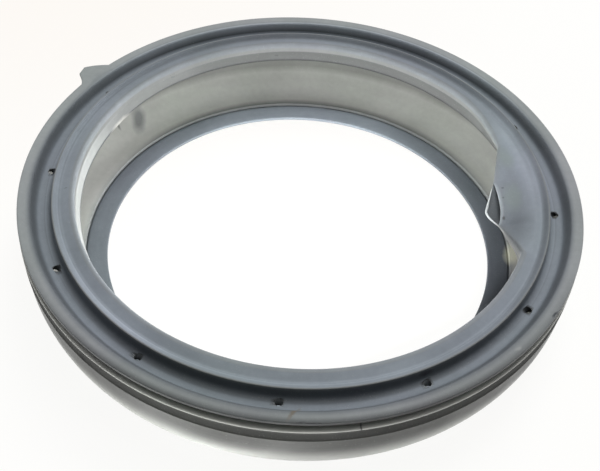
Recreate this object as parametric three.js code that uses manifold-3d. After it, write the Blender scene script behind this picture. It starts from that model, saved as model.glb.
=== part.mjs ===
// Washing machine door seal: one moulding of grey rubber, lying with its drum side up.
// Millimetres, +Z up. The origin is at the middle of the face that lies on the ground.

import * as THREE from 'three';
import * as BufferGeometryUtils from 'three/addons/utils/BufferGeometryUtils.js';
import Module from 'manifold-3d';

const wasm = await Module();
wasm.setup();

// Overall sizes
const rimRadius = 195;
const rimHeight = 62;
const turnSteps = 60;

// How far a piece that is joined on reaches into its neighbour
const overlapWidth = 1;
const overlapTurn = 1;
const overlapSink = 0.4;
const endTaper = 0.1;

// Clamping rim and the channel inside it
const rimWidth = 8.5;
const rimThickness = 2.6;
const rimFillet = 0.7;
const channelDepth = 7;
const channelFloorThickness = 3.2;
const channelSlope = 5;
const channelFillet = 1.6;

// Inner ring, with a bead along its outer edge and a bevel behind the bead
const channelWidth = 14.5;
const ringRadius = rimRadius - rimWidth - channelWidth;
const ringDraft = 1.2;
const ringFootFillet = 3.4;
const ringWall = 3.2;
const beadRise = 1.6;
const beadWidth = 1.7;
const bevelWidth = 4;
const bevelDepth = 2.4;

// Mouth of the inner ring and the skirt that hangs from it
const faceWidth = 15.4;
const mouthRadius = ringRadius - faceWidth;
const mouthRise = 2.9;
const mouthFillet = 4;
const skirtDepth = 17;
const skirtWall = 3;
const skirtDraft = 0.6;
const skirtFillet = 1.2;

// Bowl below the channel
const bowlWall = 3.2;
const bowlSpring = 37;
const bowlFloorThickness = 4;
const innerStep = 4;
const creaseDepth = 1.4;
const creaseWidth = 1.2;

// Sealing ring round the hole, and the panel groove and foot on the underside
const holeInset = 17.6;
const holeRadius = mouthRadius - holeInset;
const sealingRingWidth = 15;
const sealingRingThickness = 2.6;
const sealingRingFillet = 0.8;
const panelGrooveWidth = 11.5;
const panelGrooveInset = 6;
const panelGrooveDepth = 4.2;
const footWidth = 4;

// Ribs round the outside
const neckWall = 2.4;
const neckHeight = 4.6;
const outerBeadHeight = 5;
const outerBeadProud = 1.2;
const outerBeadSweep = 55;
const outerGrooveDepth = 1.8;
const outerGrooveHeight = 3.4;
const ribDrop = 21;
const ribHeight = 1.8;
const ribProud = 1;

// Drain holes through the channel floor
const drainCount = 12;
const drainDiameter = 5.2;
const drainInset = 4.8;
const drainRadius = ringRadius + drainInset;
const drainStart = -1.8;

// Locating tab on the rim
const tabAngle = 147;
const tabReach = 12.2;
const tabBase = 30;
const tabTip = 7.5;
const tabTipOffset = 2.6;
const tabTipSlant = 2.2;
const tabFlankBow = 2.5;

// Duckbill nozzle moulded into the mouth. Its sides are angles from its axis.
const nozzleAngle = -2;
const nozzleReach = 26.3;
const nozzleLongSide = 24.6;
const nozzleShortSide = 16.6;
const nozzleDroop = 11;
const longCornerInset = 2.9;
const longCornerDrop = 7.1;
const droopRun = 19.4;
const shortRun = 5.4;
const nozzleStep = 2.2;
const lipThickness = 2.2;
const lipFillet = 0.9;
const shoulderDepth = 7;

// Slit between the nozzle's lips, and the passage behind it
const slitLongSide = 11.6;
const slitShortSide = 5.3;
const slitReach = 18;
const upperLipSetback = 1.5;
const upperLipRise = 4.4;
const longLipBow = 0.2;
const shortLipBow = 1;
const slitHeight = 3.4;
const slitLift = 1.2;
const passageHeight = 7;
const passageDrop = 1.6;

const rubber = new THREE.MeshStandardMaterial({ color: 0x74797d, roughness: 0.5, metalness: 0 });

const toRadians = THREE.MathUtils.degToRad;

// Rounds the corners of a closed outline given as [radius, height, fillet, steps].
function roundedOutline(corners) {
  const points = [];
  corners.forEach(([x, y, fillet = 0, steps = 1], index) => {
    const corner = new THREE.Vector2(x, y);
    const before = corners[(index + corners.length - 1) % corners.length];
    const after = corners[(index + 1) % corners.length];
    const toBefore = new THREE.Vector2(before[0], before[1]).sub(corner);
    const toAfter = new THREE.Vector2(after[0], after[1]).sub(corner);
    const cut = Math.min(fillet, toBefore.length() * 0.45, toAfter.length() * 0.45);
    if (cut === 0) {
      points.push(corner);
      return;
    }
    const start = corner.clone().add(toBefore.setLength(cut));
    const end = corner.clone().add(toAfter.setLength(cut));
    points.push(...new THREE.QuadraticBezierCurve(start, corner, end).getPoints(steps));
  });
  return points;
}

// Points of a quarter ellipse about a centre, between two angles in degrees.
function ellipsePoints(centerX, centerY, radiusX, radiusY, from, to, steps) {
  const clockwise = to < from;
  const curve = new THREE.EllipseCurve(
    centerX, centerY, radiusX, radiusY, toRadians(from), toRadians(to), clockwise, 0);
  return curve.getPoints(steps).map((point) => [point.x, point.y]);
}

function channelAndRimTop() {
  const channelRadius = rimRadius - rimWidth;
  const channelFloor = rimHeight - channelDepth;
  return [
    [rimRadius, rimHeight, rimFillet],
    [channelRadius, rimHeight, rimFillet],
    [channelRadius - channelSlope, channelFloor, channelFillet, 2],
    [ringRadius + ringDraft, channelFloor, ringFootFillet, 3],
  ];
}

function ringTop() {
  const beadTop = rimHeight + beadRise;
  const beadInner = ringRadius - beadWidth;
  return [
    [ringRadius, beadTop, rimFillet],
    [beadInner, beadTop, rimFillet],
    [beadInner - bevelWidth, beadTop - bevelDepth],
    [mouthRadius, rimHeight + mouthRise, mouthFillet, 3],
  ];
}

function ringUnderside() {
  return rimHeight + beadRise - bevelDepth - ringWall;
}

function skirtAndUnderside() {
  const skirtBottom = rimHeight + mouthRise - skirtDepth;
  const skirtInner = mouthRadius - skirtDraft;
  const underRing = ringUnderside();
  const underChannel = rimHeight - channelDepth - channelFloorThickness;
  const ringInner = ringRadius - ringWall;
  return [
    [skirtInner, skirtBottom, skirtFillet],
    [skirtInner + skirtWall, skirtBottom, skirtFillet],
    [mouthRadius + skirtWall, underRing, skirtWall],
    [ringInner, underRing, skirtWall],
    [ringInner + ringDraft, underChannel, ringWall, 2],
    [bowlInnerRadius(), underChannel, ringWall, 2],
  ];
}

function bowlOuterRadius() {
  return rimRadius - ribProud;
}

function bowlInnerRadius() {
  return bowlOuterRadius() - bowlWall;
}

function creaseRadius() {
  return holeRadius + sealingRingWidth;
}

function bowlInside() {
  const centerX = creaseRadius() + creaseWidth;
  const radiusX = bowlInnerRadius() - centerX;
  const radiusY = bowlSpring - bowlFloorThickness;
  const curve = ellipsePoints(centerX, bowlSpring, radiusX, radiusY, 0, -90, 7);
  return [
    ...curve,
    [centerX - creaseWidth / 2, sealingRingThickness - creaseDepth],
    [creaseRadius() - creaseWidth / 2, sealingRingThickness],
  ];
}

function sealingRingAndFoot() {
  const grooveInner = creaseRadius() + panelGrooveInset;
  const grooveOuter = grooveInner + panelGrooveWidth;
  return [
    [holeRadius, sealingRingThickness, sealingRingFillet],
    [holeRadius, 0, sealingRingFillet],
    [grooveInner, 0],
    [grooveOuter - innerStep, panelGrooveDepth],
    [grooveOuter, panelGrooveDepth],
    [grooveOuter, 0],
  ];
}

function bowlOutside() {
  const centerX = creaseRadius() + panelGrooveInset + panelGrooveWidth + footWidth;
  const radiusX = bowlOuterRadius() - centerX;
  const ribBottom = rimHeight - ribDrop;
  return [
    ...ellipsePoints(centerX, bowlSpring, radiusX, bowlSpring, -90, 0, 6),
    [bowlOuterRadius(), ribBottom],
    [rimRadius, ribBottom + ribHeight / 2],
    [bowlOuterRadius(), ribBottom + ribHeight],
  ];
}

function outerGrooveBeadAndNeck() {
  const neckTop = rimHeight - rimThickness;
  const neckBottom = neckTop - neckHeight;
  const neckRadius = rimRadius - rimWidth + neckWall;
  const beadMiddle = neckBottom - outerBeadHeight / 2;
  const beadBottom = neckBottom - outerBeadHeight;
  const beadReach = bowlOuterRadius() + outerBeadProud - neckRadius;
  const bead = ellipsePoints(neckRadius, beadMiddle, beadReach, outerBeadHeight / 2, -outerBeadSweep, 90, 4);
  const grooveRadius = bowlOuterRadius() - outerGrooveDepth;
  return [
    [grooveRadius, beadBottom - outerGrooveHeight],
    [grooveRadius, beadBottom],
    ...bead,
    [neckRadius, neckTop],
    [rimRadius, neckTop],
  ];
}

// The section of the seal, turned once round the vertical axis.
function turnedBody() {
  const outline = roundedOutline([
    ...channelAndRimTop(),
    ...ringTop(),
    ...skirtAndUnderside(),
    ...bowlInside(),
    ...sealingRingAndFoot(),
    ...bowlOutside(),
    ...outerGrooveBeadAndNeck(),
  ]);
  outline.push(outline[0].clone());
  const body = new THREE.LatheGeometry(outline, turnSteps);
  body.rotateX(Math.PI / 2);
  return body;
}

function drainHoles() {
  const length = channelDepth + channelFloorThickness;
  const middle = rimHeight - channelDepth - channelFloorThickness / 2;
  const holes = [];
  for (let index = 0; index < drainCount; index += 1) {
    const hole = new THREE.CylinderGeometry(drainDiameter / 2, drainDiameter / 2, length, 14);
    hole.rotateX(Math.PI / 2);
    hole.translate(drainRadius, 0, middle);
    hole.rotateZ(toRadians(drainStart + index * 360 / drainCount));
    holes.push(hole);
  }
  return holes;
}

// A flat ear as thick as the rim: a slanting tip, one flank bowed out and the other bowed in.
function locatingTab() {
  const overlap = rimWidth / 2;
  const tipStart = tabTipOffset - tabTip / 2;
  const tipEnd = tabTipOffset + tabTip / 2;
  const tipReach = tabReach - tabTipSlant;
  const shape = new THREE.Shape();
  shape.moveTo(-overlap, -tabBase / 2);
  shape.lineTo(0, -tabBase / 2);
  shape.quadraticCurveTo(
    tabReach / 2 + tabFlankBow, (tipStart - tabBase / 2) / 2, tabReach, tipStart);
  shape.lineTo(tipReach, tipEnd);
  shape.quadraticCurveTo(
    tipReach / 2 - tabFlankBow, (tipEnd + tabBase / 2) / 2, 0, tabBase / 2);
  shape.lineTo(-overlap, tabBase / 2);
  const tab = new THREE.ExtrudeGeometry(shape, {
    depth: rimThickness, bevelEnabled: false, curveSegments: 6,
  });
  const sink = Math.sqrt(rimRadius ** 2 - (tabBase / 2) ** 2);
  tab.translate(sink, 0, rimHeight - rimThickness);
  tab.rotateZ(toRadians(tabAngle));
  return tab;
}

// Joins equal sections, each a ring of points, into one closed solid.
function loft(sections) {
  const count = sections[0].length;
  const indices = [];
  for (let row = 0; row < sections.length - 1; row += 1) {
    for (let column = 0; column < count; column += 1) {
      const next = (column + 1) % count;
      const a = row * count + column;
      const b = row * count + next;
      indices.push(a, b + count, b, a, a + count, b + count);
    }
  }
  const last = (sections.length - 1) * count;
  for (let column = 1; column < count - 1; column += 1) {
    indices.push(0, column, column + 1);
    indices.push(last, last + column + 1, last + column);
  }
  const solid = new THREE.BufferGeometry().setFromPoints(sections.flat());
  solid.setIndex(indices);
  return solid;
}

// Radius, at a turn from the nozzle's axis, of the straight line between two points [turn, radius].
function straightEdge(turn, [turnA, radiusA], [turnB, radiusB]) {
  const a = toRadians(turnA - turn);
  const b = toRadians(turn - turnB);
  return radiusA * radiusB * Math.sin(a + b) / (radiusA * Math.sin(a) + radiusB * Math.sin(b));
}

// Share of the run beside the long corner, over which the plain mouth turns into the nozzle.
function droopShare(turn) {
  return Math.max(1 - (turn - nozzleLongSide) / droopRun, 0);
}

// The mouth's edge, drawn in along two straight flanks to the ends of the slit.
function edgeRadius(turn) {
  const longCorner = [nozzleLongSide, mouthRadius - longCornerInset];
  const longEnd = [slitLongSide, mouthRadius - slitReach];
  const shortEnd = [-slitShortSide, mouthRadius - slitReach];
  const shortCorner = [-nozzleShortSide, mouthRadius];
  if (turn >= nozzleLongSide) {
    return mouthRadius - longCornerInset * (1 - (1 - droopShare(turn)) ** 2);
  }
  if (turn <= -nozzleShortSide) {
    return mouthRadius;
  }
  if (turn > slitLongSide) {
    return straightEdge(turn, longCorner, longEnd);
  }
  return turn < -slitShortSide
    ? straightEdge(turn, shortEnd, shortCorner)
    : straightEdge(turn, longEnd, shortEnd);
}

// How far the edge lies below the plain mouth: deepest along the slit, and less towards either corner.
function edgeDrop(turn) {
  if (turn > nozzleLongSide) {
    return longCornerDrop * droopShare(turn) ** 2;
  }
  if (turn > slitLongSide) {
    const share = (turn - slitLongSide) / (nozzleLongSide - slitLongSide);
    return nozzleDroop + (longCornerDrop - nozzleDroop) * share;
  }
  const share = (nozzleShortSide + turn) / (nozzleShortSide - slitShortSide);
  return nozzleDroop * Math.min(Math.max(share, 0), 1);
}

// Share of the slit's half width at a turn: 0 on the nozzle's axis, 1 at either end of the slit.
function slitShare(turn) {
  return Math.min(turn < 0 ? -turn / slitShortSide : turn / slitLongSide, 1);
}

// Height of the plain ring's face, which rises in a straight line from the bevel to the mouth.
function faceHeight(radius) {
  const bevelInner = ringRadius - beadWidth - bevelWidth;
  const slope = (mouthRise - beadRise + bevelDepth) / (bevelInner - mouthRadius);
  return rimHeight + mouthRise - (radius - mouthRadius) * slope;
}

// Radius at which the nozzle's part of the ring meets the plain ring.
function nozzleRoot() {
  return mouthRadius + skirtWall + ringWall;
}

// Section of the ring's inner part at a turn, with the beak's lower lip as a fold in the skirt.
function nozzleSection(turn) {
  const skirtBottom = rimHeight + mouthRise - skirtDepth;
  const root = nozzleRoot();
  const edge = edgeRadius(turn);
  const drop = edgeDrop(turn);
  const depth = drop / nozzleDroop;
  const height = rimHeight + mouthRise - drop;
  const shoulder = height - shoulderDepth * (1 - depth);
  const share = slitShare(turn);
  const bow = turn < 0 ? shortLipBow : longLipBow;
  const tip = edge - (nozzleReach - slitReach) * (1 - share * (1 - bow + bow * share));
  const opening = 1 - share * share;
  const edgeFillet = mouthFillet + (lipFillet - mouthFillet) * depth;
  return roundedOutline([
    [root + overlapWidth, faceHeight(root) - overlapSink],
    [root, faceHeight(root)],
    [edge + upperLipSetback * opening, height + upperLipRise * opening, edgeFillet, 3],
    [tip - skirtDraft / 2, shoulder, lipFillet],
    [tip, shoulder - lipThickness, lipFillet],
    [mouthRadius - skirtDraft, skirtBottom, skirtFillet],
    [mouthRadius - skirtDraft + skirtWall, skirtBottom, skirtFillet],
    [mouthRadius + skirtWall, ringUnderside(), skirtWall],
    [root + overlapWidth, ringUnderside()],
  ]);
}

// Draws an end section in towards its middle, so that the end sinks into the plain ring.
function taperedSection(section) {
  const middle = new THREE.Vector2();
  section.forEach((point) => middle.add(point));
  middle.divideScalar(section.length);
  return section.map((point) => point.clone().lerp(middle, endTaper));
}

// The beak and its drooping edge: sections through the upright axis, from one plain end to the other.
function nozzleBeak() {
  const start = -nozzleShortSide - shortRun;
  const end = nozzleLongSide + droopRun;
  const turns = [start, -nozzleShortSide, -slitShortSide, 0, slitLongSide, nozzleLongSide, end];
  const sections = [];
  const place = (section, turn) => {
    const angle = toRadians(nozzleAngle + turn);
    sections.push(section.map((point) => new THREE.Vector3(
      point.x * Math.cos(angle), point.x * Math.sin(angle), point.y)));
  };
  place(taperedSection(nozzleSection(start)), start - overlapTurn);
  turns.forEach((turn, index) => {
    const before = index === 0 ? turn : turns[index - 1];
    const steps = Math.max(Math.ceil((turn - before) / nozzleStep), 1);
    for (let step = 1; step <= steps; step += 1) {
      const here = before + (turn - before) * step / steps;
      place(nozzleSection(here), here);
    }
  });
  place(taperedSection(nozzleSection(end)), end + overlapTurn);
  return loft(sections);
}

// Room for the beak: the sector of the plain ring that it takes the place of.
function nozzleRoom() {
  const start = toRadians(-nozzleShortSide - shortRun);
  const end = toRadians(nozzleLongSide + droopRun);
  const shape = new THREE.Shape();
  shape.absarc(0, 0, nozzleRoot(), start, end, false);
  shape.absarc(0, 0, holeRadius, end, start, true);
  const height = skirtDepth + mouthFillet;
  const room = new THREE.ExtrudeGeometry(shape, {
    depth: height, bevelEnabled: false, curveSegments: 16,
  });
  room.translate(0, 0, rimHeight + mouthRise + skirtFillet - height);
  room.rotateZ(toRadians(nozzleAngle));
  return room;
}

// An upright lens across the nozzle's own axis, fullest beside the axis.
function lensSection(radius, height, middle) {
  const lip = mouthRadius - slitReach;
  const start = -lip * Math.sin(toRadians(slitShortSide));
  const end = lip * Math.sin(toRadians(slitLongSide));
  const lens = new THREE.Shape();
  lens.moveTo(start, 0);
  lens.quadraticCurveTo(0, height, end, 0);
  lens.quadraticCurveTo(0, -height, start, 0);
  const points = lens.getPoints(8).slice(0, -1);
  return points.map((point) => new THREE.Vector3(radius, point.x, middle + point.y));
}

// The slit: a lens-shaped passage that widens from the lips to the fold behind the skirt.
function nozzleSlit() {
  const middle = rimHeight + mouthRise - nozzleDroop + slitLift;
  const slit = loft([
    lensSection(mouthRadius - nozzleReach - skirtWall, slitHeight, middle),
    lensSection(mouthRadius - slitReach, slitHeight, middle),
    lensSection(mouthRadius + skirtWall * 2, passageHeight, middle - passageDrop),
  ]);
  slit.rotateZ(toRadians(nozzleAngle));
  return slit;
}

function toSolid(geometry) {
  const bare = geometry.clone();
  bare.deleteAttribute('normal');
  bare.deleteAttribute('uv');
  const merged = BufferGeometryUtils.mergeVertices(bare, 1e-4);
  return new wasm.Manifold(new wasm.Mesh({
    numProp: 3,
    vertProperties: new Float32Array(merged.attributes.position.array),
    triVerts: new Uint32Array(merged.index.array),
  }));
}

function toGeometry(solid) {
  const mesh = solid.getMesh();
  const geometry = new THREE.BufferGeometry();
  geometry.setAttribute('position', new THREE.BufferAttribute(mesh.vertProperties, 3));
  geometry.setIndex(new THREE.BufferAttribute(mesh.triVerts, 1));
  geometry.computeVertexNormals();
  return geometry;
}

function doorSeal() {
  let solid = toSolid(turnedBody());
  solid = solid.subtract(toSolid(nozzleRoom()));
  solid = solid.add(toSolid(nozzleBeak()));
  solid = solid.add(toSolid(locatingTab()));
  solid = solid.subtract(toSolid(nozzleSlit()));
  for (const hole of drainHoles()) {
    solid = solid.subtract(toSolid(hole));
  }
  const seal = new THREE.Mesh(toGeometry(solid), rubber);
  seal.name = 'door_seal';
  return seal;
}

const group = new THREE.Group();
group.add(doorSeal());

export default group;
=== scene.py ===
import bpy
import numpy as np
from mathutils import Matrix, Vector


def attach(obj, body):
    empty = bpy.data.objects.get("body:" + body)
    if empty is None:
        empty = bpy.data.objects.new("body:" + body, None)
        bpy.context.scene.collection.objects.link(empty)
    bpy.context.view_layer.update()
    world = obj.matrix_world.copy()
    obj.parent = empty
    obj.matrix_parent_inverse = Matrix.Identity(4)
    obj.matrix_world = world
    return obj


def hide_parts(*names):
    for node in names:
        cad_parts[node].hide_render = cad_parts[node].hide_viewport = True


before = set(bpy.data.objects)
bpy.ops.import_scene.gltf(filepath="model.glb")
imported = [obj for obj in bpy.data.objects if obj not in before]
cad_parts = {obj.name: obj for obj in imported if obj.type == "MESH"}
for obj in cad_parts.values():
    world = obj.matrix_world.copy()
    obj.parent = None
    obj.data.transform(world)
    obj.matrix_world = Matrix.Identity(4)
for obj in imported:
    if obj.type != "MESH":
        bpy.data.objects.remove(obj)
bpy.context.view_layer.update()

print("frame loaded")

mm = 0.001

# the seal's section, in millimetres and degrees, from the rim inwards and down
seal = {
    "rimRadius": 195, "rimHeight": 62, "rimWidth": 8.5, "rimThickness": 2.6, "rimFillet": 0.7,
    "channelDepth": 7, "channelFloor": 3.2, "channelSlope": 5, "slopeFillet": 1.6, "ringFootFillet": 3.4,
    "channelWidth": 14.5, "ringDraft": 1.2, "ringWall": 3.2, "beadRise": 1.6, "beadWidth": 1.7,
    "bevelWidth": 4, "bevelDepth": 2.4, "bevelFillet": 1, "faceWidth": 15.4, "rootFillet": 3,
    "mouthRise": 2.9, "mouthFillet": 4, "skirtDepth": 17, "skirtWall": 3, "skirtDraft": 0.6, "skirtFillet": 1.2,
    "lean": 2.6, "leanAngle": 192, "leanSpan": (21.7, 62),
    "bowlWall": 3.2, "bowlSpring": 37, "bowlFloor": 4, "creaseDepth": 1.4, "creaseWidth": 1.2, "creaseFillet": 0.3,
    "holeInset": 17.6, "sealingWidth": 15, "sealingThickness": 2.6, "sealingFillet": 0.8,
    "grooveInset": 6, "grooveWidth": 11.5, "grooveDepth": 4.2, "grooveStep": 4, "grooveFillet": 0.8, "footWidth": 4,
    "neckWall": 2.4, "neckHeight": 4.6, "outerBeadHeight": 5, "outerBeadProud": 1.2, "outerBeadStart": -55,
    "outerGrooveDepth": 1.8, "outerGrooveHeight": 3.4, "ribDrop": 21, "ribHeight": 1.8, "ribProud": 1,
    "ribFillet": 0.4, "softFillet": 0.6,
}
seal["ringRadius"] = seal["rimRadius"] - seal["rimWidth"] - seal["channelWidth"]
seal["mouthRadius"] = seal["ringRadius"] - seal["faceWidth"]
seal["holeRadius"] = seal["mouthRadius"] - seal["holeInset"]

# the ear on the rim: angle in degrees, the rest in millimetres
tab = {"angle": 147, "reach": 12.2, "base": 30, "tip": 7.5, "tipOffset": 2.6, "tipSlant": 2.2, "flankBow": 2.5}

# the duckbill nozzle: sides in degrees from the nozzle's middle, the rest in millimetres
nozzle = {
    "angle": -2, "longSide": 24.6, "shortSide": 16.6, "longRun": 19.4, "shortRun": 5.4,
    "reach": 26.3, "droop": 11, "cornerInset": 2.9, "cornerDrop": 7.1, "shoulder": 7,
    "lip": 2.2, "lipFillet": 0.9, "lipInset": 0.3, "lipSag": 0.8, "lipDrop": 0.7,
    "edgeFillet": 0.8, "edgeFilletRate": 1.6, "setback": 1.5, "upperRise": 4.4, "upperInset": 0.2,
    "slitLong": 11.6, "slitShort": 5.3, "slitReach": 18, "slitHeight": 3.4, "slitLift": 1.2, "slitDepth": 21,
    "longBow": 0.2, "shortBow": 1, "passage": 7, "passageDrop": 1.6,
    "ledgeInset": 2.3, "ledgeDrop": 1.1, "lowerInset": 1.3, "openSpan": (0, 0.1),
    # each corner of the slit: its share of the wall where it is closed, fillet, arc steps, straight steps, zone
    "slitRows": [(0.7, 0.6, 3, 6, "lip"), (0.75, 0.3, 2, 2, "slit"), (0.8, 0.3, 2, 6, "slit"),
                 (0.84, 0.4, 2, 2, "slit"), (0.88, 0.4, 3, 1, "lip")],
}

drains = {"count": 12, "diameter": 5.2, "inset": 4.8, "start": -1.8, "lean": 0.7, "sides": 32, "below": 1.5,
          "above": 3.5}

# steps round and along the curves, margins in degrees, and the most of a side that a fillet takes
grid = {
    "round": 250, "nozzle": 104, "tabCurve": 15, "bowl": 21, "outside": 17, "outerBead": 12,
    "nozzleMargin": 1, "nozzleGap": 0.3, "tabGap": 0.1, "filletShare": 0.48, "mouthShare": 0.9, "sharpAngle": 42,
}


def smoothStep(low, high, value):
    # 0 below low, 1 above high, and 3t^2 - 2t^3 between
    t = np.clip((value - low) / (high - low), 0, 1)
    return t * t * (3 - 2 * t)


def quadratic(first, middle, last, t):
    # (1 - t)^2 of the first point, 2t(1 - t) of the middle one and t^2 of the last
    return (1 - t) ** 2 * first + 2 * t * (1 - t) * middle + t * t * last


def onCircle(angles):
    # points of the unit circle: cosine and sine of each angle
    return np.stack([np.cos(angles), np.sin(angles)], 1)


def placeObject(name, data):
    thing = bpy.data.objects.new(name, data)
    bpy.context.scene.collection.objects.link(thing)
    return thing


def tabOutline():
    # the ear's edge in plan: two quadratic curves and the slanting tip between them, as angle and radius
    half = tab["base"] / 2
    sink = np.sqrt(seal["rimRadius"] ** 2 - half ** 2)
    start = np.array([tab["reach"], tab["tipOffset"] - tab["tip"] / 2])
    end = np.array([tab["reach"] - tab["tipSlant"], tab["tipOffset"] + tab["tip"] / 2])
    t = np.linspace(0, 1, grid["tabCurve"])[:, None]
    startFlank = np.array([start[0] / 2 + tab["flankBow"], (start[1] - half) / 2])
    endFlank = np.array([end[0] / 2 - tab["flankBow"], (end[1] + half) / 2])
    rise = quadratic(np.array([0, -half]), startFlank, start, t)
    fall = quadratic(end, endFlank, np.array([0, half]), t)
    edge = np.concatenate([rise, start + (end - start) * t[1:-1], fall])
    return np.arctan2(edge[:, 1], edge[:, 0] + sink), np.hypot(edge[:, 0] + sink, edge[:, 1])


def rimEdge(theta):
    # the rim's radius, or the ear's outline where that is larger
    earAngle, earRadius = tabOutline()
    turn = theta - np.radians(tab["angle"])
    return np.maximum(np.interp(turn, earAngle, earRadius, left=0, right=0), seal["rimRadius"])


def spacedAngles():
    # even steps all round, with finer ones across the nozzle and the tab in their place
    even = np.linspace(-180, 180, grid["round"], endpoint=False)
    first = -nozzle["shortSide"] - nozzle["shortRun"] - grid["nozzleMargin"]
    last = nozzle["longSide"] + nozzle["longRun"] + grid["nozzleMargin"]
    nose = nozzle["angle"] + np.linspace(first, last, grid["nozzle"])
    ear = tab["angle"] + np.degrees(tabOutline()[0])
    for part, gap in ((nose, grid["nozzleGap"]), (ear, grid["tabGap"])):
        even = even[(even < part[0] - gap) | (even > part[-1] + gap)]
    return np.radians(np.sort(np.concatenate([even, nose, ear])))


def straightEdge(turn, first, second):
    # radius of the straight line between two points given as (turn, radius): with a and b the turns to them,
    # the product of the radii times sin(a + b), over the sum of each radius times the sine of its turn
    a = np.radians(first[0] - turn)
    b = np.radians(turn - second[0])
    return first[1] * second[1] * np.sin(a + b) / (first[1] * np.sin(a) + second[1] * np.sin(b))


def nozzleShape(theta):
    # at each angle: the drawn-in edge of straight lines, its drop, the lower lip's tip, how far the slit is open
    # (1 less the square of the share of the way to its end), and how near the nozzle is
    n = nozzle
    mouth = seal["mouthRadius"]
    turn = (np.degrees(theta) - n["angle"] + 180) % 360 - 180
    droopShare = np.clip(1 - (turn - n["longSide"]) / n["longRun"], 0, 1)
    longCorner = (n["longSide"], mouth - n["cornerInset"])
    longEnd = (n["slitLong"], mouth - n["slitReach"])
    shortEnd = (-n["slitShort"], mouth - n["slitReach"])
    shortCorner = (-n["shortSide"], mouth)
    edge = np.select(
        [turn >= n["longSide"], turn <= -n["shortSide"], turn > n["slitLong"], turn < -n["slitShort"]],
        [mouth - n["cornerInset"] * (1 - (1 - droopShare) ** 2), mouth + turn * 0,
         straightEdge(turn, longCorner, longEnd), straightEdge(turn, shortEnd, shortCorner)],
        straightEdge(turn, longEnd, shortEnd))
    flank = (turn - n["slitLong"]) / (n["longSide"] - n["slitLong"])
    drop = np.select(
        [turn > n["longSide"], turn > n["slitLong"]],
        [n["cornerDrop"] * droopShare ** 2, n["droop"] + (n["cornerDrop"] - n["droop"]) * flank],
        n["droop"] * np.clip((n["shortSide"] + turn) / (n["shortSide"] - n["slitShort"]), 0, 1))
    share = np.minimum(np.where(turn < 0, -turn / n["slitShort"], turn / n["slitLong"]), 1)
    bow = np.where(turn < 0, n["shortBow"], n["longBow"])
    tip = edge - (n["reach"] - n["slitReach"]) * (1 - share * (1 - bow + bow * share))
    near = smoothStep(-n["shortSide"] - n["shortRun"], -n["shortSide"], turn) * (
        1 - smoothStep(n["longSide"], n["longSide"] + n["longRun"], turn))
    return edge, drop, tip, 1 - share ** 2, near


def lipCorners(theta, mouthTop):
    # the corners from the mouth's edge to the underside of the lower lip, as sectionCorners gives them
    s = seal
    n = nozzle
    edge, drop, tip, opening, near = nozzleShape(theta)
    depth = drop / n["droop"]
    height = mouthTop - drop
    sag = n["lipSag"] * depth * (1 - opening)

    def wallRadius(place, wallHeight):
        # the place at the nozzle, and the skirt's slightly drafted wall away from it
        plain = s["mouthRadius"] - s["skirtDraft"] * (mouthTop - wallHeight) / s["skirtDepth"]
        return place * near + plain * (1 - near)

    upper = (edge + n["setback"] * opening, height + n["upperRise"] * opening)
    lowerHeight = height - n["shoulder"] * (1 - depth) - sag
    lower = (wallRadius(tip - n["lipInset"], lowerHeight), lowerHeight)
    underHeight = lowerHeight - n["lip"] + sag
    under = (wallRadius(tip, underHeight), underHeight)

    # the slit's corners lie along that wall where it is closed, and go inwards where it is open
    middle = height + n["slitLift"] * opening
    gap = n["slitHeight"] / 2 * opening
    inner = edge + n["slitDepth"] * opening
    innerMiddle = middle - n["passageDrop"] * opening
    innerGap = n["passage"] / 2 * opening
    opened = [
        (upper[0] - n["upperInset"] * opening, middle + gap),
        (inner, innerMiddle + innerGap),
        (inner, innerMiddle - innerGap),
        (lower[0] + n["ledgeInset"] * opening, middle - gap - n["ledgeDrop"] * opening),
        (lower[0] + n["lowerInset"] * opening, middle - gap),
    ]
    openShare = smoothStep(*n["openSpan"], opening)
    slit = []
    for place, (share, fillet, arcSteps, straightSteps, zone) in zip(opened, n["slitRows"]):
        closed = [upper[k] + (lower[k] - upper[k]) * share for k in (0, 1)]
        mixed = [closed[k] * (1 - openShare) + place[k] * openShare for k in (0, 1)]
        slit.append((*mixed, fillet * opening, arcSteps, straightSteps, zone))
    lipTop = lower[1] * (1 - openShare) + (middle - gap - n["lipDrop"]) * openShare
    edgeFillet = s["mouthFillet"] + (n["edgeFillet"] - s["mouthFillet"]) * np.minimum(depth * n["edgeFilletRate"], 1)
    return [(*upper, edgeFillet, 8, 4, "mouth")] + slit + [
        (lower[0], lipTop, n["lipFillet"], 3, 1, "lip"),
        (*under, n["lipFillet"], 4, 10, "skirt"),
    ]


def curveCorners(middle, reach, angles, zone):
    # points of an ellipse with no fillets: the middle plus the two reaches times cosine and sine
    turns = np.radians(np.linspace(*angles))
    return [(middle[0] + reach[0] * np.cos(turn), middle[1] + reach[1] * np.sin(turn), 0, 1, 1, zone)
            for turn in turns]


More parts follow.
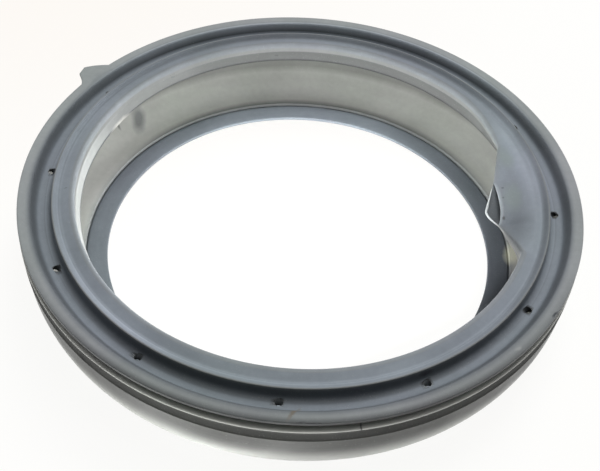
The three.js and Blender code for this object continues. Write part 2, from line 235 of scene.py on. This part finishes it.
def sectionCorners(theta):
    # every corner as (radius, height, fillet, arc steps, straight steps after it, zone)
    s = seal
    rimTop = s["rimHeight"]
    channelRadius = s["rimRadius"] - s["rimWidth"]
    floor = rimTop - s["channelDepth"]
    beadTop = rimTop + s["beadRise"]
    beadInner = s["ringRadius"] - s["beadWidth"]
    bevelInner = beadInner - s["bevelWidth"]
    bevelTop = beadTop - s["bevelDepth"]
    mouthTop = rimTop + s["mouthRise"]
    root = s["mouthRadius"] + s["skirtWall"] + s["ringWall"]
    rootTop = mouthTop - (root - s["mouthRadius"]) * (mouthTop - bevelTop) / (bevelInner - s["mouthRadius"])
    skirtBottom = mouthTop - s["skirtDepth"]
    underRing = bevelTop - s["ringWall"]
    underChannel = floor - s["channelFloor"]
    ringInner = s["ringRadius"] - s["ringWall"]
    bowlOuter = s["rimRadius"] - s["ribProud"]
    bowlInner = bowlOuter - s["bowlWall"]
    crease = s["holeRadius"] + s["sealingWidth"]
    bowlFoot = crease + s["creaseWidth"]
    grooveInner = crease + s["grooveInset"]
    grooveOuter = grooveInner + s["grooveWidth"]
    footOuter = grooveOuter + s["footWidth"]
    neckTop = rimTop - s["rimThickness"]
    neckRadius = channelRadius + s["neckWall"]
    beadBottom = neckTop - s["neckHeight"] - s["outerBeadHeight"]
    beadReach = bowlOuter + s["outerBeadProud"] - neckRadius
    halfBead = s["outerBeadHeight"] / 2
    outerGroove = bowlOuter - s["outerGrooveDepth"]
    ribBottom = rimTop - s["ribDrop"]
    rimOuter = rimEdge(theta)
    soft = s["softFillet"]

    # the soft skirt leans in a little on the side away from the nozzle
    away = (np.degrees(theta) - s["leanAngle"] + 180) % 360 - 180
    skirtInner = s["mouthRadius"] - s["skirtDraft"] - s["lean"] * (1 - smoothStep(*s["leanSpan"], np.abs(away)))

    return [
        (rimOuter, rimTop, s["rimFillet"], 3, 6, "rim"),
        (channelRadius, rimTop, s["rimFillet"], 3, 5, "slope"),
        (channelRadius - s["channelSlope"], floor, s["slopeFillet"], 5, 5, "channel"),
        (s["ringRadius"] + s["ringDraft"], floor, s["ringFootFillet"], 7, 4, "wall"),
        (s["ringRadius"], beadTop, s["rimFillet"], 4, 1, "bead"),
        (beadInner, beadTop, s["rimFillet"], 4, 3, "bevel"),
        (bevelInner, bevelTop, s["bevelFillet"], 4, 3, "ring"),
        (root, rootTop, s["rootFillet"], 5, 12, "ring"),
        *lipCorners(theta, mouthTop),
        (skirtInner, skirtBottom, s["skirtFillet"], 4, 1, "hem"),
        (skirtInner + s["skirtWall"], skirtBottom, s["skirtFillet"], 4, 3, "fold"),
        (s["mouthRadius"] + s["skirtWall"], underRing, s["skirtWall"], 4, 3, "fold"),
        (ringInner, underRing, s["skirtWall"], 4, 2, "fold"),
        (ringInner + s["ringDraft"], underChannel, s["ringWall"], 4, 5, "fold"),
        (bowlInner, underChannel, s["ringWall"], 4, 6, "fold"),
        *curveCorners((bowlFoot, s["bowlSpring"]), (bowlInner - bowlFoot, s["bowlSpring"] - s["bowlFloor"]),
                      (0, -90, grid["bowl"]), "bowl"),
        (bowlFoot - s["creaseWidth"] / 2, s["sealingThickness"] - s["creaseDepth"], s["creaseFillet"], 2, 1, "crease"),
        (crease - s["creaseWidth"] / 2, s["sealingThickness"], soft, 3, 6, "sealing"),
        (s["holeRadius"], s["sealingThickness"], s["sealingFillet"], 4, 1, "sealing"),
        (s["holeRadius"], 0, s["sealingFillet"], 3, 5, "sealing"),
        (grooveInner, 0, soft, 2, 2, "under"),
        (grooveOuter - s["grooveStep"], s["grooveDepth"], s["grooveFillet"], 2, 2, "under"),
        (grooveOuter, s["grooveDepth"], soft, 2, 2, "under"),
        (grooveOuter, 0, soft, 2, 1, "under"),
        *curveCorners((footOuter, s["bowlSpring"]), (bowlOuter - footOuter, s["bowlSpring"]),
                      (-90, 0, grid["outside"]), "outside"),
        (bowlOuter, ribBottom, s["ribFillet"], 2, 1, "outside"),
        (s["rimRadius"], ribBottom + s["ribHeight"] / 2, soft, 3, 1, "outerRib"),
        (bowlOuter, ribBottom + s["ribHeight"], soft, 2, 2, "outside"),
        (outerGroove, beadBottom - s["outerGrooveHeight"], s["grooveFillet"], 3, 2, "outside"),
        (outerGroove, beadBottom, soft, 2, 1, "outside"),
        *curveCorners((neckRadius, beadBottom + halfBead), (beadReach, halfBead),
                      (s["outerBeadStart"], 90, grid["outerBead"]), "outerBead"),
        (neckRadius, neckTop, soft, 2, 3, "neck"),
        (rimOuter, neckTop, s["rimFillet"], 3, 3, "rimEdge"),
    ]


def roundedSection(theta, corners):
    # each corner becomes a quadratic curve cut back along its two sides, and straight runs are divided evenly
    points = np.stack([np.stack(np.broadcast_arrays(c[0] + theta * 0, c[1] + theta * 0), 1) for c in corners])
    fillet = np.stack([c[2] + theta * 0 for c in corners])
    toBefore = np.roll(points, 1, 0) - points
    toAfter = np.roll(points, -1, 0) - points
    lengthBefore = np.maximum(np.linalg.norm(toBefore, axis=2), 1e-6)
    lengthAfter = np.maximum(np.linalg.norm(toAfter, axis=2), 1e-6)
    cut = np.minimum(fillet, np.minimum(lengthBefore, lengthAfter) * grid["filletShare"])
    mouth = [c[5] for c in corners].index("mouth")
    cut[mouth] = np.minimum(fillet[mouth], lengthAfter[mouth] * grid["mouthShare"])
    start = points + toBefore * (cut / lengthBefore)[..., None]
    end = points + toAfter * (cut / lengthAfter)[..., None]
    rows = []
    zones = []
    for index, (_, _, _, arcSteps, straightSteps, zone) in enumerate(corners):
        steps = arcSteps if np.any(fillet[index] > 0) else 0
        rows += [quadratic(start[index], points[index], end[index], t) for t in np.linspace(0, 1, steps + 1)]
        following = start[(index + 1) % len(corners)]
        rows += [end[index] * (1 - t) + following * t for t in np.arange(1, straightSteps) / straightSteps]
        zones += [zone] * (steps + straightSteps)
    return np.stack(rows), zones


def ringMesh(name, theta, section, values):
    # the section's points are turned to their angles about the upright axis, and the grid closes both ways
    rows, columns = section.shape[:2]
    radius = section[..., 0]
    xyz = np.stack([radius * np.cos(theta), radius * np.sin(theta), section[..., 1]], 2) * mm
    row, column = np.meshgrid(np.arange(rows), np.arange(columns), indexing="ij")
    nextRow = (row + 1) % rows
    nextColumn = (column + 1) % columns
    faces = np.stack([row * columns + column, nextRow * columns + column,
                      nextRow * columns + nextColumn, row * columns + nextColumn], 2).reshape(-1, 4)
    mesh = bpy.data.meshes.new(name)
    mesh.from_pydata(xyz.reshape(-1, 3), [], faces)
    for key, value in values.items():
        mesh.attributes.new(key, "FLOAT", "POINT").data.foreach_set("value", value.reshape(-1).astype(np.float32))
    mesh.polygons.foreach_set("use_smooth", np.ones(len(faces), bool))
    mesh.update()
    return placeObject(name, mesh)


def cutDrains(piece):
    # three rings to each hole, placed round the drain circle; the lowest one is moved outwards, so that the hole
    # leans below the floor; all holes are cut in one boolean
    sides = drains["sides"]
    circle = onCircle(np.linspace(0, 2 * np.pi, sides, endpoint=False)) * drains["diameter"] / 2
    places = onCircle(np.radians(drains["start"] + np.arange(drains["count"]) * 360 / drains["count"]))[:, None]
    flat = places * (seal["ringRadius"] + drains["inset"]) + circle[None]
    floor = np.full(flat.shape[:2] + (1,), seal["rimHeight"] - seal["channelDepth"])
    below = seal["channelFloor"] + drains["below"]
    rings = [(flat + places * below * drains["lean"], floor - below), (flat, floor), (flat, floor + drains["above"])]
    xyz = np.concatenate([np.concatenate(ring, 2) for ring in rings], 1) * mm
    k = np.arange(sides)
    side = np.stack([k, (k + 1) % sides, (k + 1) % sides + sides, k + sides], 1)
    faces = []
    for first in np.arange(drains["count"]) * sides * 3:
        faces += (side + first).tolist() + (side + sides + first).tolist()
        faces += [(k[::-1] + first).tolist(), (k + 2 * sides + first).tolist()]
    mesh = bpy.data.meshes.new("drainCutter")
    mesh.from_pydata(xyz.reshape(-1, 3), [], faces)
    cutter = placeObject("drainCutter", mesh)
    cut = piece.modifiers.new("drains", "BOOLEAN")
    cut.operation = "DIFFERENCE"
    cut.solver = "EXACT"
    cut.object = cutter
    bpy.context.view_layer.objects.active = piece
    piece.select_set(True)
    bpy.ops.object.modifier_apply(modifier=cut.name)
    bpy.data.objects.remove(cutter)
    piece.data.set_sharp_from_angle(angle=np.radians(grid["sharpAngle"]))


# the finish of each zone: how light it is, how warm, and how glossy; the lightness is painted shade in the rim's outer
# edge, slope, wall, bevel, slit, hem, fold, crease, neck and outside, and a painted highlight on the lip, outer rib,
# outer bead and bowl
finishAndPaintedShade = {
    "rim": (1.02, 0.55, 0.3), "rimEdge": (0.25, 0.5, 0.2), "slope": (0.42, 0.1, 0.2), "channel": (0.8, 0.0, 0.2),
    "bead": (0.8, 0.6, 0.5), "bevel": (0.55, 0.0, 0.2), "ring": (1.0, 0.0, 0.3), "wall": (0.4, 0.0, 0.1),
    "mouth": (0.95, 0.3, 0.5), "slit": (0.3, 0.2, 0.3), "lip": (1.35, 0.6, 0.6), "skirt": (0.7, 0.75, 1.0),
    "hem": (0.2, 0.5, 0.5), "fold": (0.12, 0.2, 0.2), "bowl": (1.08, 1.0, 0.8), "crease": (0.3, 0.3, 0.1),
    "sealing": (1.05, 0.0, 0.4), "under": (0.8, 0.2, 0.1), "outside": (0.22, 1.0, 0.5),
    "outerRib": (0.45, 1.0, 0.6), "outerBead": (1.7, 1.0, 0.9), "neck": (0.08, 0.3, 0.1),
}

# painted light and shade: how the lightness changes within the zones by side, height and radius, darker where shade
# falls and lighter where light and reflections fall; a span is where a smooth step starts and ends, in millimetres of
# height or radius, and for the sides in parts of the way there
shade = {
    "softenTurns": 2, "sideSpan": (0.2, 0.95), "westSpan": (0.75, 0.98), "westTurn": 12,
    # the bowl: painted shade under the skirt, at its top and on the far side by the crease, and painted light lower
    # down and on the left
    "bowlUpper": 0.42, "bowlUpperSpan": (15, 20), "bowlBase": 1.1, "bowlFoot": 0.3, "bowlFootSpan": (6, 14),
    "bowlLeft": 0.25, "bowlTop": 0.6, "bowlTopSpan": (24, 34), "bowlFar": 0.5, "bowlFarSpan": (156.4, 160),
    # the outside: painted shade at the top and a painted glow from the floor lower down
    "outsideTop": 38, "outsideBase": 0.28, "outsideGlow": 1.3, "outsideSpan": (14, 33),
    # the channel's far slope painted lighter at its top and darker at its foot; the ring's wall painted lighter away
    # from the near side
    "slopeFar": 1.1, "slopeFoot": 2, "slopeSpan": (56, 61.5), "wallLift": 0.35,
    # bevel, rim and sealing ring: painted shade and light by side, and the rim painted darker towards its outer edge on
    # the near side
    "bevelFar": 0.4, "bevelNear": 0.6, "bevelLeft": 0.5,
    "rimLeft": 0.06, "rimNear": 0.15, "rimOuter": 0.65, "rimSpan": (190, 194.8),
    "sealingFar": 0.15, "sealingLeft": 0.45, "sealingRight": 0.6,
    # the skirt: painted reflection on the left and west, and painted shadow at its hem
    "skirtBase": 0.58, "skirtLeft": 0.42, "skirtWest": 1.05, "hem": 0.75, "hemSpan": (48.4, 49.6),
    # the ring painted darker on the far side and by the nozzle, and the mouth painted lighter where the slit is open
    "ringFar": 0.24, "ringNose": 0.36, "ringNoseSpan": (150, 163), "mouthOpen": 0.55,
}


def finishAndPaintedShadeValues(theta, section, zones):
    # each row takes its zone's values, softened over its neighbours by weights 1, 2 and 1; the slit's and lip's
    # values count only where the slit is open; the lightness, with its painted shade and highlights, is then multiplied
    # by its zone's factors of painted shade and painted light
    c = shade
    shape = nozzleShape(theta)
    opened = smoothStep(*nozzle["openSpan"], shape[3])
    tables = []
    for names in (zones, ["skirt" if zone in ("slit", "lip") else zone for zone in zones]):
        table = np.array([finishAndPaintedShade[name] for name in names])
        for turn in range(c["softenTurns"]):
            table = (np.roll(table, 1, 0) + 2 * table + np.roll(table, -1, 0)) / 4
        tables.append(table[:, None])
    openShare = opened[:, None]
    toneAndPaintedShade, warm, gloss = np.moveaxis(tables[0] * openShare + tables[1] * (1 - openShare), 2, 0)
    zone = np.array(zones)[:, None]
    radius, height = section[..., 0], section[..., 1]
    right, far = smoothStep(*c["sideSpan"], onCircle(theta).T)
    left, near = smoothStep(*c["sideSpan"], -onCircle(theta).T)
    west = smoothStep(*c["westSpan"], -np.cos(theta - np.radians(c["westTurn"])))

    def above(span, value=height):
        # 0 below the span and 1 above it
        return smoothStep(*c[span], value)

    paintedShadeFactors = [
        (["bowl"], 1 - c["bowlUpper"] * above("bowlUpperSpan")),
        (["bowl"], c["bowlBase"] + c["bowlFoot"] * (1 - above("bowlFootSpan")) + c["bowlLeft"] * left),
        (["bowl"], 1 - c["bowlTop"] * above("bowlTopSpan")),
        (["bowl"], 1 - c["bowlFar"] * far * (1 - above("bowlFarSpan", radius))),
        (["slope"], 1 + far * (c["slopeFar"] - c["slopeFoot"] * (1 - above("slopeSpan")))),
        (["bevel"], 1 - c["bevelFar"] * far + c["bevelNear"] * near + c["bevelLeft"] * left),
        (["rim", "rimEdge"], 1 + c["rimLeft"] * left - c["rimNear"] * near),
        (["rim", "rimEdge"], 1 - c["rimOuter"] * near * above("rimSpan", radius)),
        (["sealing"], 1 + c["sealingFar"] * far - c["sealingLeft"] * left - c["sealingRight"] * right),
        (["skirt"], c["skirtBase"] + c["skirtLeft"] * left + c["skirtWest"] * west),
        (["skirt", "hem"], 1 - c["hem"] * (1 - left) * (1 - opened) * (1 - above("hemSpan"))),
        (["ring", "mouth"], 1 - c["ringFar"] * far),
        (["ring", "mouth"], 1 - c["ringNose"] * shape[4] * (1 - above("ringNoseSpan", radius))),
        (["mouth"], 1 + c["mouthOpen"] * opened),
    ]
    for names, factor in paintedShadeFactors:
        toneAndPaintedShade = np.where(np.isin(zone, names), toneAndPaintedShade * factor, toneAndPaintedShade)
    # the lower outside is set afresh: painted shade at the top, and a painted glow from the floor towards the bottom
    paintedOutsideLight = (zone == "outside") & (height < c["outsideTop"])
    toneAndPaintedShade = np.where(paintedOutsideLight, c["outsideBase"] + c["outsideGlow"] * (1 - above("outsideSpan")), toneAndPaintedShade)
    # the ring's outer wall is painted lighter except on the near side, where it keeps its painted shade
    toneAndPaintedShade = np.where(zone == "wall", toneAndPaintedShade + c["wallLift"] * (1 - near), toneAndPaintedShade)
    return {"toneAndPaintedShade": toneAndPaintedShade, "warm": warm, "gloss": gloss}


def feed(tree, node, inputs):
    # each input is joined to an output or set to a value
    for key, value in inputs.items():
        if hasattr(value, "is_output"):
            tree.links.new(value, node.inputs[key])
        else:
            node.inputs[key].default_value = value
    return node


def maths(tree, operation, first, second):
    # one step on two numbers, such as their product
    node = tree.nodes.new("ShaderNodeMath")
    node.operation = operation
    return feed(tree, node, {0: first, 1: second}).outputs[0]


def vectorMaths(tree, operation, inputs):
    # one step on vectors, whose length alone is a number
    node = tree.nodes.new("ShaderNodeVectorMath")
    node.operation = operation
    return feed(tree, node, inputs).outputs["Value" if operation == "LENGTH" else "Vector"]


def spread(tree, value, fromSpan, toSpan, interpolation="LINEAR"):
    # the first span stretched to the second, and held at its ends
    node = tree.nodes.new("ShaderNodeMapRange")
    node.interpolation_type = interpolation
    return feed(tree, node, {"Value": value, "From Min": fromSpan[0], "From Max": fromSpan[1],
                             "To Min": toSpan[0], "To Max": toSpan[1]}).outputs[0]


def blend(tree, share, first, second, kind="MIX"):
    # the first colour mixed with the second, or multiplied by it, by the share
    node = tree.nodes.new("ShaderNodeMix")
    node.data_type = "RGBA"
    node.blend_type = kind
    return feed(tree, node, {"Factor": share, "A": first, "B": second}).outputs["Result"]


def noise(tree, place, name):
    # a noise whose middle range is stretched to the low and high value
    scale, detail, low, high = rubber[name]
    node = feed(tree, tree.nodes.new("ShaderNodeTexNoise"),
                {"Vector": place, "Scale": scale, "Detail": detail, "Roughness": rubber["noiseRoughness"]})
    return spread(tree, node.outputs["Fac"], rubber["noiseSpan"], (low, high))


def spotDistance(tree, place, centre, half, turn):
    # distance from the centre, counted in half sizes, after a turn about the upright axis
    node = tree.nodes.new("ShaderNodeMapping")
    node.vector_type = "TEXTURE"
    feed(tree, node, {"Vector": place, "Location": centre, "Rotation": (0, 0, np.radians(turn)), "Scale": half})
    return vectorMaths(tree, "LENGTH", {0: node.outputs[0]})


def seenRays(tree):
    # 1 for rays from the camera, from a reflection or through a clear body, and 0 for the rest
    path = tree.nodes.new("ShaderNodeLightPath").outputs
    direct = maths(tree, "MAXIMUM", path["Is Camera Ray"], path["Is Glossy Ray"])
    return maths(tree, "MAXIMUM", direct, path["Is Transmission Ray"])


def mixShaders(tree, share, first, second, target):
    mix = feed(tree, tree.nodes.new("ShaderNodeMixShader"), {0: share, 1: first, 2: second})
    tree.links.new(mix.outputs[0], target)


# colours, sheen, noises as (scale, detail, low, high) and bumps as (strength, distance)
rubber = {
    "cool": (0.222, 0.252, 0.280, 1), "warm": (0.252, 0.258, 0.240, 1),
    "greenHue": (0.985, 1.015, 0.99, 1), "pinkHue": (1.01, 0.985, 1.02, 1),
    "roughness": 0.52, "glossShare": 0.2, "specular": 0.22, "noiseRoughness": 0.55, "noiseSpan": (0.3, 0.7),
    "blotch": (7, 2, 0.95, 1.05), "mottle": (26, 4, 0.94, 1.06), "streak": (150, 3, 0.95, 1.05),
    "speckle": (240, 3, 0.965, 1.035), "hue": (11, 2, 0, 1), "sheen": (45, 4, -0.05, 0.06),
    "grain": (1500, 2, 0, 0.35), "ripple": (420, 2, 0, 0.4), "wave": (38, 2, 0, 1), "dust": (1100, 1, 0, 1),
    "fineBump": (0.25, 0.00012), "wideBump": (0.5, 0.0006), "aroundSize": 0.02,
    "wobbleScale": 130, "wobble": 0.004, "spotSpan": (0.45, 1.15),
    "dustSpan": (0.97, 1.05), "dustShare": 0.3, "dustColour": (0.5, 0.5, 0.48, 1),
}

# small marks, and spots of painted shade and painted reflection inside the bowl and on the nozzle: place and half size
# in millimetres, turn in degrees, colour, strength
marksAndPaintedLight = [
    ((4, -186, 60), (1.8, 9, 8), -28, (0.13, 0.11, 0.08, 1), 0.8),
    ((12, -194, 61.5), (8, 0.9, 1.5), 4, (0.03, 0.03, 0.035, 1), 0.7),
    ((44.2, -189, 51), (0.7, 6, 6), 13, (0.03, 0.03, 0.03, 1), 0.85),
    ((166, -101, 61), (3.4, 1.1, 3), 58, (0.03, 0.035, 0.04, 1), 0.9),
    ((82.5, -151.5, 60), (5.5, 2, 2.2), 28, (0.035, 0.035, 0.045, 1), 0.8),
    ((-161.6, -17.6, 62.6), (1.6, 0.5, 1.5), 8, (0.04, 0.045, 0.05, 1), 0.8),
    # a dark streak on the bowl wall: painted reflection
    ((-148.5, 103.2, 14), (1.4, 5, 5), 35, (0.08, 0.085, 0.085, 1), 0.7),
    # a dark patch on the bowl floor: painted shadow
    ((-134, 114, 12), (6, 15, 8), 14, (0.15, 0.16, 0.16, 1), 0.85),
    # a light patch at the skirt's hem: painted reflection
    ((-140, 70, 48), (11, 15, 3), 0, (0.42, 0.42, 0.39, 1), 0.85),
    # a light patch on the bowl wall: painted reflection
    ((-157, 98, 19), (12, 20, 7), 0, (0.36, 0.36, 0.34, 1), 0.75),
    ((141.9, 15.8, 57.2), (1, 1, 2), 0, (0.06, 0.06, 0.06, 1), 0.8),
    ((140.9, 4.6, 58.3), (1, 0.8, 2), 0, (0.06, 0.06, 0.06, 1), 0.8),
    ((139.8, -13.2, 56.9), (1, 1.4, 2), 0, (0.05, 0.05, 0.05, 1), 0.8),
    # two darker greenish patches on the nozzle's top: painted shade of its slopes, with a greenish tint
    ((147.9, 4.9, 59), (7, 16, 9), 0, (0.165, 0.195, 0.19, 1), 0.6),
    ((146, 46, 58), (6, 12, 9), 18, (0.17, 0.20, 0.195, 1), 0.55),
    ((-129.5, -144.5, 43.2), (5, 0.8, 1.5), -48, (0.03, 0.03, 0.03, 1), 0.8),
    ((139.5, -129.7, 62), (3, 1.5, 2), 47, (0.36, 0.37, 0.36, 1), 0.4),
    # a cream patch low in the bowl by the nozzle: painted reflection
    ((157, 2, 4), (7, 11, 6), 0, (0.62, 0.62, 0.50, 1), 0.8),
]


def makeRubber():
    # the base colour by warmth, times the lightness with its painted shade and highlights, and noises, with the marks,
    # painted shade and painted reflections and the dust blended over it;
    # roughness falls with gloss; grain, ripples and waves are bumps
    material = bpy.data.materials.new("greyRubber")
    material.use_nodes = True
    tree = material.node_tree
    coords = tree.nodes.new("ShaderNodeTexCoord").outputs["Object"]

    def attribute(name):
        node = tree.nodes.new("ShaderNodeAttribute")
        node.attribute_name = name
        return node.outputs["Fac"]

    # coordinates that run round the seal: the direction from the axis, drawn short, and radius less height
    flat = vectorMaths(tree, "MULTIPLY", {0: coords, 1: (1, 1, 0)})
    direction = vectorMaths(tree, "NORMALIZE", {0: flat})
    around = vectorMaths(tree, "SCALE", {0: direction, "Scale": rubber["aroundSize"]})
    lift = feed(tree, tree.nodes.new("ShaderNodeSeparateXYZ"), {0: coords}).outputs["Z"]
    outwards = maths(tree, "SUBTRACT", vectorMaths(tree, "LENGTH", {0: flat}), lift)
    across = feed(tree, tree.nodes.new("ShaderNodeCombineXYZ"), {"Z": outwards})
    ringWise = vectorMaths(tree, "ADD", {0: around, 1: across.outputs[0]})

    # the lightness, with its painted shade and painted highlights
    light = attribute("toneAndPaintedShade")
    for place, name in ((coords, "blotch"), (coords, "mottle"), (ringWise, "streak"), (coords, "speckle")):
        light = maths(tree, "MULTIPLY", light, noise(tree, place, name))
    colour = blend(tree, attribute("warm"), rubber["cool"], rubber["warm"])
    colour = vectorMaths(tree, "SCALE", {0: colour, "Scale": light})
    hue = blend(tree, noise(tree, coords, "hue"), rubber["greenHue"], rubber["pinkHue"])
    colour = blend(tree, 1.0, colour, hue, "MULTIPLY")

    # marks, and spots of painted shade and painted reflection, with uneven outlines
    wobble = feed(tree, tree.nodes.new("ShaderNodeTexNoise"), {"Vector": coords, "Scale": rubber["wobbleScale"]})
    shift = vectorMaths(tree, "SUBTRACT", {0: wobble.outputs["Color"], 1: (0.5, 0.5, 0.5)})
    shift = vectorMaths(tree, "SCALE", {0: shift, "Scale": rubber["wobble"]})
    uneven = vectorMaths(tree, "ADD", {0: coords, 1: shift})
    for place, half, turn, tint, strength in marksAndPaintedLight:
        distance = spotDistance(tree, uneven, [v * mm for v in place], [v * mm for v in half], turn)
        colour = blend(tree, spread(tree, distance, rubber["spotSpan"], (strength, 0)), colour, tint)
    dust = spread(tree, noise(tree, coords, "dust"), rubber["dustSpan"], (0, rubber["dustShare"]))
    colour = blend(tree, dust, colour, rubber["dustColour"])

    glossPart = maths(tree, "MULTIPLY", attribute("gloss"), rubber["glossShare"])
    rough = maths(tree, "ADD", maths(tree, "SUBTRACT", rubber["roughness"], glossPart), noise(tree, coords, "sheen"))
    height = maths(tree, "ADD", noise(tree, coords, "grain"), noise(tree, ringWise, "ripple"))
    fineBump = feed(tree, tree.nodes.new("ShaderNodeBump"), {
        "Strength": rubber["fineBump"][0], "Distance": rubber["fineBump"][1], "Height": height})
    wideBump = feed(tree, tree.nodes.new("ShaderNodeBump"), {
        "Strength": rubber["wideBump"][0], "Distance": rubber["wideBump"][1],
        "Height": noise(tree, coords, "wave"), "Normal": fineBump.outputs[0]})
    feed(tree, tree.nodes["Principled BSDF"], {
        "Base Color": colour, "Roughness": rough, "Specular IOR Level": rubber["specular"],
        "Normal": wideBump.outputs[0]})
    return material


theta = spacedAngles()
section, zones = roundedSection(theta, sectionCorners(theta))
print("section points", section.shape)
sealPiece = ringMesh("sealMoulding", theta, section, finishAndPaintedShadeValues(theta, section, zones))
cutDrains(sealPiece)
sealPiece.data.materials.append(makeRubber())
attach(sealPiece, "root")
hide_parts("door_seal")
print("seal made", len(sealPiece.data.polygons))

# camera: where it looks on the rim's plane, its distance, and how it is tipped
view = {"aim": (0.0006, -0.0471, 0.062), "distance": 0.7467, "elevation": 47.24, "roll": -3.71, "lens": 67.07,
        "sensor": 36}


def makeCamera():
    # stands back from the aim at the elevation, and is turned by the roll about its own line of sight
    up = np.radians(view["elevation"])
    roll = np.radians(view["roll"])
    back = Vector((0, -np.cos(up), np.sin(up)))
    right = Vector((1, 0, 0))
    top = Vector((0, np.sin(up), np.cos(up)))
    side = right * np.cos(roll) - top * np.sin(roll)
    head = right * np.sin(roll) + top * np.cos(roll)
    data = bpy.data.cameras.new("viewCamera")
    data.lens = view["lens"]
    data.sensor_width = view["sensor"]
    camera = placeObject("viewCamera", data)
    camera.matrix_world = Matrix.Translation(Vector(view["aim"]) + back * view["distance"]) @ Matrix(
        (side, head, back)).transposed().to_4x4()
    bpy.context.scene.camera = camera


# the floor: how white it looks to the camera, its tinted spot, and how much of the object's shadow stays in it
stage = {
    "size": 6, "colour": (0.93, 0.925, 0.915, 1), "roughness": 0.9, "shadowShare": 0.07,
    "seenColour": (1, 0.998, 0.985, 1), "seenTint": (0.985, 0.945, 0.9, 1),
    "tintPlace": (-0.3, 0.42, 0), "tintHalf": (0.55, 0.5, 1), "tintSpan": (0.1, 1.1),
}


def makeFloor():
    # a flat square that takes a faint shadow, mixed with a plain glow for the rays that see it
    size = stage["size"]
    mesh = bpy.data.meshes.new("floor")
    mesh.from_pydata([(-size, -size, 0), (size, -size, 0), (size, size, 0), (-size, size, 0)], [], [(0, 1, 2, 3)])
    floor = placeObject("floor", mesh)
    material = bpy.data.materials.new("paleFloor")
    material.use_nodes = True
    tree = material.node_tree
    shader = feed(tree, tree.nodes["Principled BSDF"], {"Base Color": stage["colour"], "Roughness": stage["roughness"]})
    coords = tree.nodes.new("ShaderNodeTexCoord").outputs["Object"]
    distance = spotDistance(tree, coords, stage["tintPlace"], stage["tintHalf"], 0)
    tint = spread(tree, distance, stage["tintSpan"], (1, 0), "SMOOTHSTEP")
    glow = feed(tree, tree.nodes.new("ShaderNodeEmission"), {
        "Color": blend(tree, tint, stage["seenColour"], stage["seenTint"])})
    share = maths(tree, "MULTIPLY", seenRays(tree), 1 - stage["shadowShare"])
    mixShaders(tree, share, shader.outputs[0], glow.outputs[0], tree.nodes["Material Output"].inputs["Surface"])
    mesh.materials.append(material)


# each lamp's place, aim, size and power, and whether reflections show it
lamps = {
    "windowLamp": ((1.3, 3.2, 5.1), (0, 0, 0.05), 3.2, 240, False),
    "ceilingLamp": ((0.4, 0.8, 5.7), (0, 0, 0.05), 2.6, 115, True),
    "tableGlow": ((0, 0, 0.001), (0, 0, 1), 0.9, 0.9, True),
    "frontGlow": ((-0.12, -0.42, 0.001), (-0.12, -0.42, 1), 0.5, 0.95, True),
    "holeFill": ((0.06, -0.07, 0.08), (-0.08, 0.15, 0.012), 0.08, 0.8, False),
}


def makeLamp(name, place, aim, size, power, reflected):
    # a round lamp turned so that it faces the aim, and never seen itself
    data = bpy.data.lights.new(name, "AREA")
    data.shape = "DISK"
    data.size = size
    data.energy = power
    lamp = placeObject(name, data)
    lamp.location = place
    lamp.rotation_euler = (Vector(aim) - Vector(place)).to_track_quat("-Z", "Y").to_euler()
    lamp.visible_camera = False
    lamp.visible_glossy = reflected


# the room's light: its colour, and its strength from the camera's side to behind the seal
room = {"colour": (1, 0.995, 0.985, 1), "depthSpan": (-0.4, 0.9), "strengths": (0.05, 0.42)}


def makeWorld():
    # the strength rises in a straight line with the direction's depth; the rays that see it find plain white
    world = bpy.data.worlds.new("studio")
    bpy.context.scene.world = world
    world.use_nodes = True
    tree = world.node_tree
    direction = tree.nodes.new("ShaderNodeTexCoord").outputs["Generated"]
    depth = feed(tree, tree.nodes.new("ShaderNodeSeparateXYZ"), {0: direction}).outputs["Y"]
    soft = feed(tree, tree.nodes["Background"], {
        "Color": room["colour"], "Strength": spread(tree, depth, room["depthSpan"], room["strengths"])})
    seen = feed(tree, tree.nodes.new("ShaderNodeBackground"), {"Color": stage["seenColour"]})
    mixShaders(tree, seenRays(tree), soft.outputs[0], seen.outputs[0], tree.nodes["World Output"].inputs["Surface"])


makeCamera()
makeFloor()
for name, values in lamps.items():
    makeLamp(name, *values)
makeWorld()
bpy.context.scene.view_settings.view_transform = "Standard"
print("camera, floor and light made")
